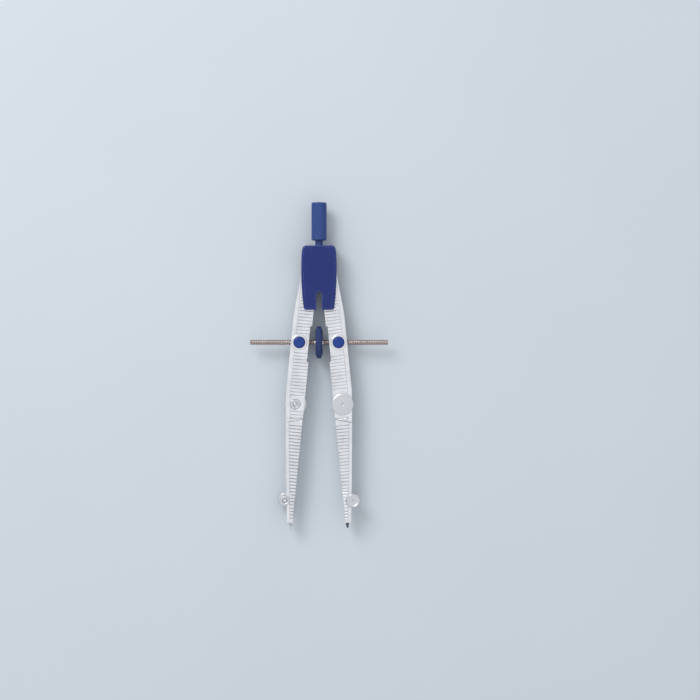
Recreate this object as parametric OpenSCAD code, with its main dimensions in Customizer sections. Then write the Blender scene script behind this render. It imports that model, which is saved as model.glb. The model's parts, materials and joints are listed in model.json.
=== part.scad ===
// Drawing compass: a geared head, two ribbed legs with knees, and a spindle with a
// centre wheel that sets the opening. It lies on its back: +Y runs from the points
// to the handle, +Z is the front, and the wheel stands on z = 0.

/* [Head] */
// Distance between the two leg hinges
hinge_gap = 10.2; // [10.2:0.1:11]
// Height of the head above the hinge line
head_top = 10.25; // [9.8:0.05:12]
// Length of the head below the hinge line
head_drop = 19.6; // [17:0.1:20]
// Widest width of the head
head_w = 16.4; // [16:0.1:18]
// Bow radius of the long sides of the head
head_bow_r = 138.5; // [100:0.5:200]
// Thickness of both covers together
head_t = 10; // [9.6:0.1:12]
// Bevel around the front and back faces
head_bevel = 0.7; // [0.3:0.05:1]
// Width of the slot that takes the wheel when the legs are wide open
slot_w = 2.6; // [2.5:0.05:3.2]
// Length of that slot
slot_len = 8.4; // [4:0.1:10]
// Radius of the hinge pins
hinge_r = 2; // [1.8:0.05:2.2]

/* [Handle] */
// Diameter of the fluted grip
grip_d = 7.1; // [6:0.1:9]
// Length of the fluted grip
grip_len = 17.6; // [14:0.1:24]
// Diameter of the smooth neck under the grip
neck_d = 3.7; // [3.4:0.1:5]
// Length of the neck
neck_len = 2.55; // [2:0.05:5]
// Number of flutes around the grip
flutes = 16; // [12:1:20]
// Radius of the steel stem inside the handle
stem_r = 1.2; // [0.9:0.05:1.4]

/* [Legs] */
// Rest angle of each leg from closed, in degrees
rest_angle = 5.7; // [5:0.1:7]
// Smallest and largest angle of each leg from closed, in degrees
open_range = [1.2, 40.7];
// Thickness of the upper legs
leg_t = 6.4; // [6:0.1:6.6]
// Distance from the hinge in to the straight inner edge
inner_edge = 4.6; // [4.4:0.05:4.8]
// Distance from the hinge out to the outer edge, along most of the upper leg
outer_edge = 4.45; // [4.2:0.05:5]
// Distance from the hinge down to the knee
knee_u = 63.7; // [60:0.1:72]
// Distance from the hinge down to the end of the lower leg
leg_end = 118.7; // [116:0.1:124]
// Thickness of the lower leg at its end
end_t = 4.4; // [4:0.1:5]
// Radius of the rounded end of the upper leg at the knee
knee_r = 7.54; // [7:0.02:8]
// Slope of the stop face beside that round end, in degrees
stop_slope = 15; // [10:1:20]
// Pitch of the fine ribs across the legs
rib_pitch = 1.515; // [1.4:0.005:1.8]
// Depth of the grooves between the ribs
groove_depth = 0.24; // [0.1:0.02:0.3]
// Width of the smooth strip along the outer edge
strip_w = 2; // [1.5:0.1:2.4]

/* [Gears on the legs] */
// Teeth of a full gear
teeth = 16; // [16:1:18]
// Play between teeth, measured on the pitch circle
backlash = 0.16; // [0.1:0.01:0.3]

/* [Spindle and nuts] */
// Length of the threaded spindle
spindle_len = 64; // [62:1:80]
// Diameter of the spindle
spindle_d = 2.6; // [2.2:0.1:2.8]
// Distance from the hinge down to the nuts
nut_u = 34.88; // [33:0.05:38]
// Outward offset of the nuts from the hinge line
nut_a = 0.545; // [0.3:0.005:0.8]
// Outer diameter of the swivelling nuts
nut_d = 6.4; // [6.2:0.1:6.6]
// Diameter of the release buttons
button_d = 5.1; // [4.9:0.1:5.2]
// Travel of the release buttons
button_travel = 0.7; // [0.5:0.05:0.8]
// Diameter of the centre wheel
wheel_d = 15; // [14:0.2:15.4]
// Thickness of the centre wheel at its rim
wheel_t = 2.2; // [1.8:0.05:2.2]
// Thickness of the centre wheel inside its rim
wheel_flank_t = 3.2; // [2.4:0.1:3.2]

/* [Knees and clamps] */
// Diameter of the large knee disc
knee_disc_d = 10; // [9:0.1:10.4]
// Diameter of the knee shank
knee_shank_d = 3; // [2.6:0.1:3.4]
// Diameter of the round knee nut
knee_nut_d = 4.9; // [4.5:0.1:5.4]
// Thickness of the tongue inside the knee fork
tongue_t = 2.1; // [1.8:0.1:2.2]
// Distance from the end of the lower leg up to the clamp screw
clamp_up = 10.1; // [8:0.1:12]
// Diameter of the clamp screw head
clamp_head_d = 6.9; // [6:0.1:7.5]
// Diameter of the clamp nut and of the lug under it
clamp_nut_d = 4.6; // [4.4:0.1:5]

/* [Points] */
// Diameter of the needle and of the lead
point_d = 1.5; // [1.3:0.1:1.6]
// Length of the needle outside the leg
needle_out = 3.7; // [3:0.1:7]
// Length of the lead outside the leg
lead_out = 2.5; // [2:0.1:6]

/* [Clearances] */
// Radial running clearance of pins and shafts
run = 0.05; // [0.02:0.01:0.08]
// Gap between faces that slide past each other
face_gap = 0.1; // [0.05:0.01:0.15]
// Gap around the teeth, the knee split and the head cavity
free_gap = 0.3; // [0.2:0.02:0.35]

/* [Hidden] */
$fn = 96;
big = 40;

// head
hinge_x = hinge_gap / 2;
washer_t = 0.15;
cavity_t = leg_t + 2 * washer_t + face_gap;
half_cavity = cavity_t / 2;
leg_top_r = 2.9;                       // round outer top of a leg
wall_start = 2;                        // side walls begin this far above the hinges
bar_y = 6.2;                           // solid top bar of the head begins here
grip_end = 6.5;                        // solid end of the grip above the stem
flute_shift = 1 / 6;                    // turn of the flutes, as a share of their spacing
pin_seat = 0.9;                        // depth of the pin's seat in each cover
cover_screw_r = 0.9;
cover_screw_head_r = 1.7;
corner_r = 1.9;
foot_corner_r = 0.9;
top_screws = [4.9, 8];
flange_r = 2.2;
flange_y = [7, 8.2];

// gears
pitch_r = hinge_x;
module_mm = 2 * pitch_r / teeth;
gear_tip_r = pitch_r + 0.8 * module_mm;
gear_root_r = pitch_r - 1.1 * module_mm;
gear_base_r = pitch_r * cos(20);
tooth_angle = 360 / teeth;
first_tooth = -3;                      // tooth numbers count from the line between the hinges

// legs
flare_end = 25;                        // the leg reaches its full width here
flare_in = 1.7;                        // how much narrower it is at the hinge
taper_start = 58;
taper_slope = 0.09;
taper_bow = 0.00026;
neck_u = 3;                            // the straight inner edge starts here
shoulder_u = 1.2;                      // the outer edge starts here
fork_top = 4.5;                        // height of the fork slot above the knee
tongue_r = 4;
fork_t = tongue_t + 4 * face_gap + 0.1;
knee_washer_t = (fork_t - tongue_t) / 2 - face_gap / 2;
knee_a = -0.44;
split_gap = 0.15;
taper_from = knee_u + 9;               // the thickness tapers from here
rib_first = 12.5;
low_rib_first = knee_u + 9.9;
low_rib_pitch = rib_pitch + 0.017;
groove_side = groove_depth * sqrt(2);
low_strip_w = strip_w * 0.75;
rib_margin = 0.15;                     // the grooves begin this far inside the inner edge
recess_u = [mid_rib(nut_u - wheel_d / 2 - 0.6), mid_rib(nut_u + wheel_d / 2 + 0.6)];
recess_depth = 0.75;

// nuts and spindle
spindle_r = spindle_d / 2;
nut_r = nut_d / 2;
flange_t = 0.35;                       // flange of a nut on the face of the leg
nut_flange_r = nut_r + 0.45;
nut_floor_t = 0.6;
clip_t = 0.35;
nut_back = leg_t / 2 + 0.75;
button_r = button_d / 2;
button_bore_r = button_r + run;
button_top = leg_t / 2 + flange_t + 0.25 + button_travel;
button_base = -1.9;
spindle_slot_h = spindle_r + run;
groove_ring_r = nut_r - 0.3;
nut_angle = rest_angle + atan(nut_a / nut_u);
nut_arm = sqrt(nut_a * nut_a + nut_u * nut_u);
nut_x = hinge_x + nut_arm * sin(nut_angle);
nut_y = -nut_arm * cos(nut_angle);
wheel_flank_r = wheel_d / 2 - 1.2;     // clears the foot of the head when the legs are wide open
spring_wire = 0.3;
spring_r = 1.9;

// knee
disc_seat = 0.5;
nut_seat = 0.9;
shank_r = knee_shank_d / 2;
thread_r = 1;
disc_edge_t = 0.45;
disc_crown = 0.75;
dimple_r = 0.5;

// clamp and points
clamp_a = -0.05;
clamp_r = 1;
slit_t = 0.5;
clamp_u = leg_end - clamp_up;
needle_u = leg_end + needle_out;
lead_u = leg_end + lead_out;
slit_u = clamp_u - 15.6;
lug_t = 2 * (half_t_at(clamp_u - clamp_head_d / 2) + face_gap / 2);
clamp_head_t = 1.7;
clamp_nut_t = 0.9;
point_a = -3.95;                       // place of the needle tip across the leg
point_lean = 3.2;
point_len = 21;
point_bore_len = 24;
point_cone = 3;
lead_cone = 2;

// where the hinge line lies above the origin
needle_tip_y = point_a * sin(rest_angle) - needle_u * cos(rest_angle);
handle_end_y = head_top + neck_len + grip_len;
head_y = -(handle_end_y + needle_tip_y) / 2;
mid_z = wheel_d / 2;

module in_place() {
    translate([0, head_y, mid_z]) children();
}

module on_right_leg() {
    in_place() translate([hinge_x, 0, 0]) rotate([0, 0, rest_angle]) children();
}

// the left leg is the right one turned over
module on_left_leg() {
    in_place() rotate([0, 180, 0])
        translate([hinge_x, 0, 0]) rotate([0, 0, rest_angle]) children();
}

module at_nut(side) {
    in_place() translate([side * nut_x, nut_y, 0]) children();
}

// the middle of the rib nearest to u, so that the wheel's recess ends between two grooves
function mid_rib(u) = rib_first + (round((u - rib_first) / rib_pitch - 0.5) + 0.5) * rib_pitch;

// ---- outline of a leg: a is the distance outwards, u the distance down from the hinge
function smooth(t) = t * t * (3 - 2 * t);
function outer_at(u) =
    u < flare_end ? outer_edge - flare_in * (1 - smooth(u / flare_end)) :
    u < taper_start ? outer_edge :
    outer_edge - taper_slope * (u - taper_start) - taper_bow * pow(u - taper_start, 2);
function half_t_at(u) =
    leg_t / 2 - (leg_t - end_t) / 2 * max(0, (u - taper_from) / (leg_end - taper_from));

module leg_outline(from, to) {
    step = (to - from) / 40;
    polygon(concat(
        [[-inner_edge, -to], [-inner_edge, -from]],
        [for (i = [0:40]) [outer_at(from + i * step), -(from + i * step)]]
    ));
}

module upper_outline() {
    to = knee_u + 12;
    steps = 48;
    step = (to - shoulder_u) / steps;
    polygon(concat(
        [
            [-inner_edge, -to], [-inner_edge, -neck_u], [-inner_edge + 1.6, -neck_u + 0.8],
            [-1, 0.4], [1, 0.4]
        ],
        [for (i = [0:steps]) [outer_at(shoulder_u + i * step), -(shoulder_u + i * step)]]
    ));
}

// the side of the knee that belongs to the upper leg, grown by a gap: a round end that
// runs straight out into the stop face
module knee_side(gap) {
    r = knee_r + gap;
    run_out = 12;
    function on_end(angle) = -r * [sin(angle), cos(angle)];
    translate([knee_a, -knee_u]) polygon(concat(
        [on_end(stop_slope) + run_out * [cos(stop_slope), -sin(stop_slope)]],
        [for (angle = [stop_slope:2.5:90]) on_end(angle)],
        [[-run_out, 0], [-run_out, big * 2], [run_out, big * 2]]
    ));
}

function inner_at(u) =
    -inner_edge + (u > recess_u[0] - 0.5 && u < recess_u[1] + 0.5 ? recess_depth : 0);
module bar_groove(u, a_from, a_to, z) {
    translate([a_from, -u, z]) rotate([45, 0, 0])
        translate([0, -groove_side / 2, -groove_side / 2])
            cube([a_to - a_from, groove_side, groove_side]);
}

// ---- gear sector
function inv_angle(r) = r <= gear_base_r ? 0 :
    let (t = sqrt(pow(r / gear_base_r, 2) - 1)) t * 180 / PI - atan(t);
function half_tooth(r) =
    tooth_angle / 4 - backlash / pitch_r * 90 / PI + inv_angle(pitch_r) - inv_angle(r);
function tooth_r(i) = i == 0 ? gear_root_r - 0.3 :
    gear_tip_r - (gear_tip_r - gear_root_r - 0.2) * (5 - i) / 4;
function polar(r, angle) = [r * cos(angle), r * sin(angle)];

module tooth(angle) {
    polygon(concat(
        [for (i = [0:5]) polar(tooth_r(i), angle - half_tooth(tooth_r(i)))],
        [for (i = [5:-1:0]) polar(tooth_r(i), angle + half_tooth(tooth_r(i)))]
    ));
}

module gear_sector(phase) {
    last_tooth = phase > 0 ? 0 : 1;
    circle(gear_root_r);
    // the teeth face the other leg, and the sector is set back by the rest angle
    for (n = [first_tooth:last_tooth])
        tooth(180 - rest_angle + (n + phase) * tooth_angle);
}

// ---- upper leg
module upper_leg(phase) {
    nut_bore_r = nut_r + run;
    mid_angle = -(open_range[0] + open_range[1]) / 2;
    half_sweep = (open_range[1] - open_range[0]) / 2 + 1;
    sweep_w = spindle_r + 0.2;
    reach = 12;
    difference() {
        union() {
            linear_extrude(leg_t, center = true) difference() {
                intersection() {
                    upper_outline();
                    knee_side(0);
                }
                // recess for the wheel
                translate([-inner_edge - 1, -recess_u[1]])
                    square([1 + recess_depth, recess_u[1] - recess_u[0]]);
            }
            cylinder(h = leg_t, r = leg_top_r, center = true);
            linear_extrude(leg_t, center = true) gear_body(phase);
        }
        // hinge bore and nut bore
        cylinder(h = leg_t + 2, r = hinge_r + run, center = true);
        translate([nut_a, -nut_u, 0]) {
            cylinder(h = leg_t + 2, r = nut_bore_r, center = true);
            // room for the spindle while the leg swings
            linear_extrude(2 * sweep_w, center = true)
                sweep_slot(mid_angle, half_sweep, sweep_w, reach);
        }
        // fork slot, knee bores and seats
        translate([knee_a, -knee_u, 0]) {
            translate([-big / 2, -big, -fork_t / 2]) cube([big, big + fork_top, fork_t]);
            cylinder(h = leg_t + 2, r = shank_r + run, center = true);
            translate([0, 0, leg_t / 2 - disc_seat])
                cylinder(h = 2, r = knee_disc_d / 2 + 0.4);
            translate([0, 0, -leg_t / 2 + nut_seat]) mirror([0, 0, 1])
                cylinder(h = 2, r = knee_nut_d / 2 + run);
        }
        // ribs on the disc face, then on the nut face
        for (k = [0:ceil((knee_u + 9 - rib_first) / rib_pitch)]) {
            u = rib_first + k * rib_pitch;
            if (u < knee_u + 9 && (u < nut_u - 3.9 || u > nut_u + 6)
                    && abs(u - knee_u) > knee_disc_d / 2 + 1.2)
                bar_groove(u, inner_at(u) + rib_margin, outer_at(u) - strip_w, leg_t / 2);
            if (u < knee_u + 9 && abs(u - nut_u) > 3.9
                    && (u < knee_u - 3.4 || u > knee_u + 2.7))
                bar_groove(u, inner_at(u) + rib_margin, outer_at(u) - strip_w, -leg_t / 2);
        }
    }
}

module gear_body(phase) {
    intersection() {
        gear_sector(phase);
        // keep the gear off the outer side, where the cover's wall stands
        translate([-big - 0.4, -big / 2]) square([big, big]);
    }
}

module sweep_slot(mid, half, w, reach) {
    low = mid - half;
    high = mid + half;
    neck = w / cos(half);
    function side(angle) = [-sin(angle), cos(angle)];
    polygon([
        reach * [cos(high), sin(high)] + w * side(high),
        neck * side(mid),
        -reach * [cos(low), sin(low)] + w * side(low),
        -reach * [cos(high), sin(high)] - w * side(high),
        -neck * side(mid),
        reach * [cos(low), sin(low)] - w * side(low)
    ]);
}

// ---- lower leg
module taper_wedge() {
    rotate([90, 0, 90]) linear_extrude(big, center = true)
        polygon([
            [-knee_u + 10, leg_t / 2], [-taper_from, leg_t / 2], [-leg_end, end_t / 2],
            [-leg_end, -end_t / 2], [-taper_from, -leg_t / 2], [-knee_u + 10, -leg_t / 2]
        ]);
}

module lower_leg() {
    difference() {
        union() {
            intersection() {
                linear_extrude(leg_t, center = true) difference() {
                    leg_outline(knee_u + 2, leg_end);
                    knee_side(split_gap);
                }
                taper_wedge();
            }
            // tongue and its round end
            linear_extrude(tongue_t, center = true) {
                translate([knee_a, -knee_u]) circle(tongue_r);
                intersection() {
                    translate([knee_a - tongue_r, -knee_u - knee_r - 3])
                        square([2 * tongue_r, knee_r + 3]);
                    leg_outline(knee_u - 8, knee_u + 12);
                }
            }
            // lug of the clamp screw
            translate([clamp_a, -clamp_u, 0])
                cylinder(h = lug_t, r = clamp_nut_d / 2, center = true);
        }
        translate([knee_a, -knee_u, 0]) cylinder(h = leg_t, r = shank_r + run, center = true);
        translate([clamp_a, -clamp_u, 0]) cylinder(h = leg_t, r = clamp_r + run, center = true);
        // slit that lets the clamp screw pinch the point
        translate([-big / 2, -slit_u - big, -slit_t / 2]) cube([big, big, slit_t]);
        point_place(leg_end + 1) cylinder(h = point_bore_len, r = point_d / 2 + run / 2);
        for (k = [0:floor((leg_end - 1 - low_rib_first) / low_rib_pitch)]) {
            u = low_rib_first + k * low_rib_pitch;
            side = outer_at(u) - low_strip_w;
            if (abs(u - clamp_u) > clamp_nut_d / 2 + 0.6 || side < clamp_a - clamp_nut_d / 2)
                for (s = [-1, 1]) bar_groove(u, -inner_edge - 1, side, s * half_t_at(u));
            else
                for (s = [-1, 1])
                    bar_groove(u, -inner_edge - 1, clamp_a - clamp_nut_d / 2 - 0.3, s * half_t_at(u));
        }
    }
}

// axis of a point: +Z runs up the leg from u along the lean
module point_place(u) {
    translate([point_a + (needle_u - u) * tan(point_lean), -u, 0])
        rotate([0, 0, -point_lean]) rotate([-90, 0, 0]) children();
}

module point(u_tip, cone, tip_r) {
    point_place(u_tip) rotate_extrude() polygon([
        [0, 0], [tip_r, 0], [point_d / 2, cone], [point_d / 2, point_len - 0.3],
        [point_d / 2 - 0.3, point_len], [0, point_len]
    ]);
}

// ---- knee and clamp hardware
module knee_screw() {
    seat = leg_t / 2 - disc_seat;
    back = -leg_t / 2 + nut_seat;
    r = knee_disc_d / 2;
    translate([knee_a, -knee_u, 0]) rotate_extrude() polygon([
        [0, -leg_t / 2 - 0.05], [thread_r - run / 2, -leg_t / 2 - 0.05],
        [thread_r - run / 2, back], [shank_r, back], [shank_r, seat], [r, seat],
        [r, seat + disc_edge_t], [r - 0.35, seat + disc_edge_t + 0.15],
        [dimple_r, seat + disc_edge_t + disc_crown],
        [0.15, seat + disc_edge_t + disc_crown - 0.4],
        [0, seat + disc_edge_t + disc_crown - 0.4]
    ]);
}

module knee_nut() {
    translate([knee_a, -knee_u, -leg_t / 2]) difference() {
        translate([0, 0, -0.2]) cylinder(h = nut_seat + 0.2, r = knee_nut_d / 2);
        translate([0, 0, -1]) cylinder(h = nut_seat + 2, r = thread_r);
    }
}

module knee_washers() {
    for (s = [-1, 1])
        translate([knee_a, -knee_u, s * (tongue_t / 2 + knee_washer_t / 2)]) difference() {
            cylinder(h = knee_washer_t, r = tongue_r - 0.4, center = true);
            cylinder(h = 1, r = shank_r + run, center = true);
        }
}

module clamp_screw() {
    seat = lug_t / 2;
    notch_r = 0.3;
    knurls = 30;
    translate([clamp_a, -clamp_u, 0]) difference() {
        rotate_extrude() polygon([
            [0, -seat - clamp_nut_t + 0.4], [clamp_r, -seat - clamp_nut_t + 0.4],
            [clamp_r, seat], [clamp_head_d / 2 - 0.25, seat],
            [clamp_head_d / 2, seat + 0.25], [clamp_head_d / 2, seat + clamp_head_t - 0.3],
            [clamp_head_d / 2 - 0.3, seat + clamp_head_t],
            [1, seat + clamp_head_t], [0.2, seat + clamp_head_t - 0.6],
            [0, seat + clamp_head_t - 0.6]
        ]);
        for (k = [0:knurls - 1])
            rotate([0, 0, k * 360 / knurls])
                translate([clamp_head_d / 2 + notch_r / 3, 0, seat - 1])
                    cylinder(h = clamp_head_t + 2, r = notch_r, $fn = 16);
    }
}

module clamp_nut() {
    translate([clamp_a, -clamp_u, -lug_t / 2 - clamp_nut_t]) difference() {
        cylinder(h = clamp_nut_t, r = clamp_nut_d / 2);
        translate([0, 0, -1]) cylinder(h = clamp_nut_t + 2, r = clamp_r + run / 2);
    }
}

// ---- swivelling nut with its release button
module nut_body() {
    top = leg_t / 2 + flange_t;
    difference() {
        union() {
            translate([0, 0, -nut_back]) cylinder(h = nut_back + leg_t / 2 + 0.01, r = nut_r);
            translate([0, 0, leg_t / 2]) cylinder(h = flange_t, r = nut_flange_r);
        }
        translate([0, 0, -nut_back + nut_floor_t]) cylinder(h = big, r = button_bore_r);
        rotate([0, 90, 0]) cylinder(h = big, r = spindle_r + run, center = true);
        // groove of the retaining clip
        translate([0, 0, -leg_t / 2 - clip_t]) rotate_extrude()
            translate([groove_ring_r, 0]) square([2, clip_t]);
        translate([0, 0, top]) rotate_extrude()
            polygon([[nut_flange_r - 0.12, 0.01], [nut_flange_r + 1, 0.01], [nut_flange_r + 1, -0.12],
                [nut_flange_r, -0.12]]);
    }
}

module nut_clip() {
    translate([0, 0, -leg_t / 2 - clip_t]) difference() {
        cylinder(h = clip_t, r = nut_flange_r);
        translate([0, 0, -1]) cylinder(h = 3, r = groove_ring_r);
        translate([-0.6, -big, -1]) cube([1.2, big, 3]);
    }
}

module release_button() {
    difference() {
        translate([0, 0, button_base]) rotate_extrude() polygon([
            [0, 0], [button_r, 0], [button_r, button_top - button_base - 0.35],
            [button_r - 0.3, button_top - button_base - 0.05], [1.2, button_top - button_base],
            [0, button_top - button_base]
        ]);
        // window for the spindle, with room for the travel
        translate([-big / 2, -spindle_slot_h, -spindle_slot_h])
            cube([big, 2 * spindle_slot_h, 2 * spindle_slot_h + button_travel]);
    }
}

module button_spring() {
    floor_z = -nut_back + nut_floor_t;
    turns = 3;
    gap = button_base - floor_z;
    for (k = [0:turns - 1])
        translate([0, 0, floor_z + spring_wire / 2 + k * (gap - spring_wire) / (turns - 1)])
            rotate_extrude() translate([spring_r, 0]) circle(spring_wire / 2, $fn = 16);
    // the riser that carries the wire from turn to turn
    translate([spring_r, 0, floor_z + spring_wire / 2])
        cylinder(h = gap - spring_wire, r = spring_wire / 2 - 0.01, $fn = 16);
}

// ---- spindle and wheel
module spindle() {
    in_place() translate([0, nut_y, 0]) rotate([0, 90, 0]) rotate_extrude() polygon([
        [0, -spindle_len / 2], [spindle_r - 0.4, -spindle_len / 2],
        [spindle_r, -spindle_len / 2 + 0.5], [spindle_r, spindle_len / 2 - 0.5],
        [spindle_r - 0.4, spindle_len / 2], [0, spindle_len / 2]
    ]);
}

module centre_wheel() {
    knurls = 48;
    notch_r = 0.28;
    rim = wheel_t / 2;
    flank = wheel_flank_t / 2;
    half = [
        [spindle_r + run, flank], [2.6, flank], [2.9, flank - 0.25], [4.9, flank - 0.25],
        [5.2, flank], [wheel_flank_r - 0.3, flank], [wheel_flank_r, flank - 0.3],
        [wheel_flank_r, rim], [wheel_d / 2 - 0.25, rim], [wheel_d / 2, rim - 0.25]
    ];
    in_place() translate([0, nut_y, 0]) rotate([0, 90, 0]) difference() {
        rotate_extrude() polygon(concat(
            [for (p = half) [p[0], -p[1]]], [for (k = [len(half) - 1:-1:0]) half[k]]
        ));
        for (k = [0.5:knurls - 0.5])
            rotate([0, 0, k * 360 / knurls]) translate([wheel_d / 2 + 0.08, 0, 0])
                cylinder(h = wheel_t + 1, r = notch_r, center = true, $fn = 16);
    }
}

// ---- head
// a stack with the head's outline, bevelled at its face
module bowed_side() {
    translate([-(head_bow_r - head_w / 2), -1, 0]) {
        cylinder(h = head_t / 2 - head_bevel, r = head_bow_r, $fn = 256);
        translate([0, 0, head_t / 2 - head_bevel])
            cylinder(h = head_bevel, r1 = head_bow_r, r2 = head_bow_r - head_bevel, $fn = 256);
    }
}

module corner_cut(x, y, r, up) {
    b = head_bevel;
    t = head_t / 2;
    for (s = [-1, 1]) scale([s, 1, 1]) translate([x - r, y - up * r, 0]) difference() {
        translate([0, up > 0 ? 0 : -r - 2, -1]) cube([r + 2, r + 2, t + 2]);
        translate([0, 0, -2]) cylinder(h = t - b + 2, r = r);
        translate([0, 0, t - b]) cylinder(h = b, r1 = r, r2 = r - b);
    }
}

module head_shape() {
    t = head_t / 2;
    b = head_bevel;
    top_half = head_half_at(head_top);
    foot_half = head_half_at(-head_drop);
    difference() {
        intersection() {
            bowed_side();
            mirror([1, 0, 0]) bowed_side();
            rotate([90, 0, 90]) linear_extrude(big, center = true) polygon([
                [-head_drop, 0], [head_top, 0], [head_top, t - b], [head_top - b, t],
                [-head_drop + b, t], [-head_drop, t - b]
            ]);
        }
        corner_cut(top_half, head_top, corner_r, 1);
        corner_cut(foot_half, -head_drop, foot_corner_r, -1);
        // slot for the wheel
        translate([-slot_w / 2, -big - head_drop + slot_len - slot_w / 2, -1]) cube([slot_w, big, t + 2]);
        translate([0, -head_drop + slot_len - slot_w / 2, -1]) cylinder(h = t + 2, r = slot_w / 2);
    }
}

function head_half_at(y) =
    sqrt(pow(head_bow_r, 2) - pow(y + 1, 2)) - (head_bow_r - head_w / 2);

module cavity() {
    r = gear_tip_r + free_gap;
    linear_extrude(2 * half_cavity, center = true) {
        for (s = [-1, 1]) scale([s, 1, 1]) translate([hinge_x, 0]) {
            intersection() {
                circle(r);
                translate([-big, -big / 2]) square([big, big]);
            }
            circle(leg_top_r + 0.15);
        }
        translate([-big, -big]) square([2 * big, big + wall_start]);
    }
}

module cover() {
    difference() {
        head_shape();
        cavity();
        // seats of the hinge pins
        for (s = [-1, 1]) translate([s * hinge_x, 0, 0])
            cylinder(h = half_cavity + pin_seat, r = hinge_r);
        // seat of the stem
        rotate([-90, 0, 0]) cylinder(h = big, r = stem_r + run / 2);
        translate([0, flange_y[0] - run, 0]) rotate([-90, 0, 0])
            cylinder(h = flange_y[1] - flange_y[0] + 2 * run, r = flange_r + run);
    }
}

module head_front_cover() {
    color([0.15, 0.21, 0.46]) in_place() difference() {
        cover();
        for (s = [-1, 1]) translate([s * top_screws[0], top_screws[1], -1])
            cylinder(h = 1 + head_t / 2 - 1.2, r = cover_screw_r);
    }
}

module head_back_cover() {
    color([0.15, 0.21, 0.46]) in_place() mirror([0, 0, 1]) difference() {
        cover();
        for (s = [-1, 1]) for (p = [[hinge_x, 0], top_screws]) translate([s * p[0], p[1], -1]) {
            cylinder(h = big, r = cover_screw_r + run);
            translate([0, 0, 1 + head_t / 2 - 0.6]) cylinder(h = 2, r = cover_screw_head_r + run);
        }
    }
}

module cover_screw(len) {
    translate([0, 0, -head_t / 2 + 0.1]) {
        difference() {
            cylinder(h = 0.5, r = cover_screw_head_r);
            translate([-0.2, -2, -1]) cube([0.4, 4, 1.25]);
        }
        cylinder(h = len, r = cover_screw_r);
    }
}

module cover_screws() {
    color("silver") in_place() for (s = [-1, 1]) {
        translate([s * hinge_x, 0, 0]) cover_screw(4.5);
        translate([s * top_screws[0], top_screws[1], 0]) cover_screw(head_t / 2 + 2.6);
    }
}

module hinge_pin(side) {
    color("silver") in_place() translate([side * hinge_x, 0, -half_cavity - pin_seat]) difference() {
        cylinder(h = cavity_t + 2 * pin_seat, r = hinge_r);
        translate([0, 0, -1]) cylinder(h = 6, r = cover_screw_r);
    }
}

module hinge_washers() {
    color("gold") in_place() for (s = [-1, 1]) for (z = [-1, 1])
        translate([s * hinge_x, 0, z * (half_cavity - washer_t / 2)]) difference() {
            cylinder(h = washer_t, r = leg_top_r, center = true);
            cylinder(h = 1, r = hinge_r + run, center = true);
        }
}

module handle_grip() {
    neck_r = neck_d / 2;
    grip_r = grip_d / 2;
    color([0.2, 0.3, 0.5]) in_place() translate([0, head_top, 0]) rotate([-90, 0, 0]) difference() {
        rotate_extrude() polygon([
            [0, 0], [neck_r, 0], [neck_r, neck_len], [grip_r - 0.3, neck_len],
            [grip_r, neck_len + 0.3], [grip_r, neck_len + grip_len - 0.35],
            [grip_r - 0.35, neck_len + grip_len], [0, neck_len + grip_len]
        ]);
        translate([0, 0, -1]) cylinder(h = 1 + neck_len + grip_len - grip_end, r = stem_r);
        for (k = [0:flutes - 1]) rotate([0, 0, (k + flute_shift) * 360 / flutes])
            translate([grip_r + 0.05, 0, neck_len + 1.4])
                cylinder(h = grip_len - 2.8, r = 0.2, $fn = 16);
    }
}

module handle_stem() {
    color("silver") in_place() rotate([-90, 0, 0]) rotate_extrude() polygon([
        [0, bar_y - 0.2], [stem_r, bar_y - 0.2], [stem_r, flange_y[0]], [flange_r, flange_y[0]],
        [flange_r, flange_y[1]], [stem_r, flange_y[1]],
        [stem_r, head_top + neck_len + grip_len - grip_end - 0.05],
        [0, head_top + neck_len + grip_len - grip_end - 0.05]
    ]);
}

head_front_cover();
head_back_cover();
cover_screws();
hinge_pin(-1);  // left_hinge_pin
hinge_pin(1);  // right_hinge_pin
hinge_washers();
handle_grip();
handle_stem();

color("gainsboro") on_left_leg() upper_leg(0.5);  // left_upper_leg
color("gainsboro") on_left_leg() lower_leg();  // left_lower_leg
color("silver") on_left_leg() knee_screw();  // left_knee_screw
color("silver") on_left_leg() knee_nut();  // left_knee_nut
color("silver") on_left_leg() knee_washers();  // left_knee_washers
color("silver") on_left_leg() clamp_screw();  // left_clamp_screw
color("silver") on_left_leg() clamp_nut();  // left_clamp_nut
color("silver") at_nut(-1) nut_body();  // left_nut_body
color("gray") at_nut(-1) nut_clip();  // left_nut_clip
color("blue") at_nut(-1) release_button();  // left_release_button
color("gray") at_nut(-1) button_spring();  // left_button_spring
color("gray") on_left_leg() point(needle_u, point_cone, 0.05);  // needle

color("gainsboro") on_right_leg() upper_leg(0);  // right_upper_leg
color("gainsboro") on_right_leg() lower_leg();  // right_lower_leg
color("silver") on_right_leg() knee_screw();  // right_knee_screw
color("silver") on_right_leg() knee_nut();  // right_knee_nut
color("silver") on_right_leg() knee_washers();  // right_knee_washers
color("silver") on_right_leg() clamp_screw();  // right_clamp_screw
color("silver") on_right_leg() clamp_nut();  // right_clamp_nut
color("silver") at_nut(1) nut_body();  // right_nut_body
color("gray") at_nut(1) nut_clip();  // right_nut_clip
color("blue") at_nut(1) release_button();  // right_release_button
color("gray") at_nut(1) button_spring();  // right_button_spring
color("dimgray") on_right_leg() point(lead_u, lead_cone, 0.35);  // lead
color("rosybrown") spindle();
color("midnightblue") centre_wheel();
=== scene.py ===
import json
import math

import bmesh
import bpy
from mathutils import Matrix, Vector


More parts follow.
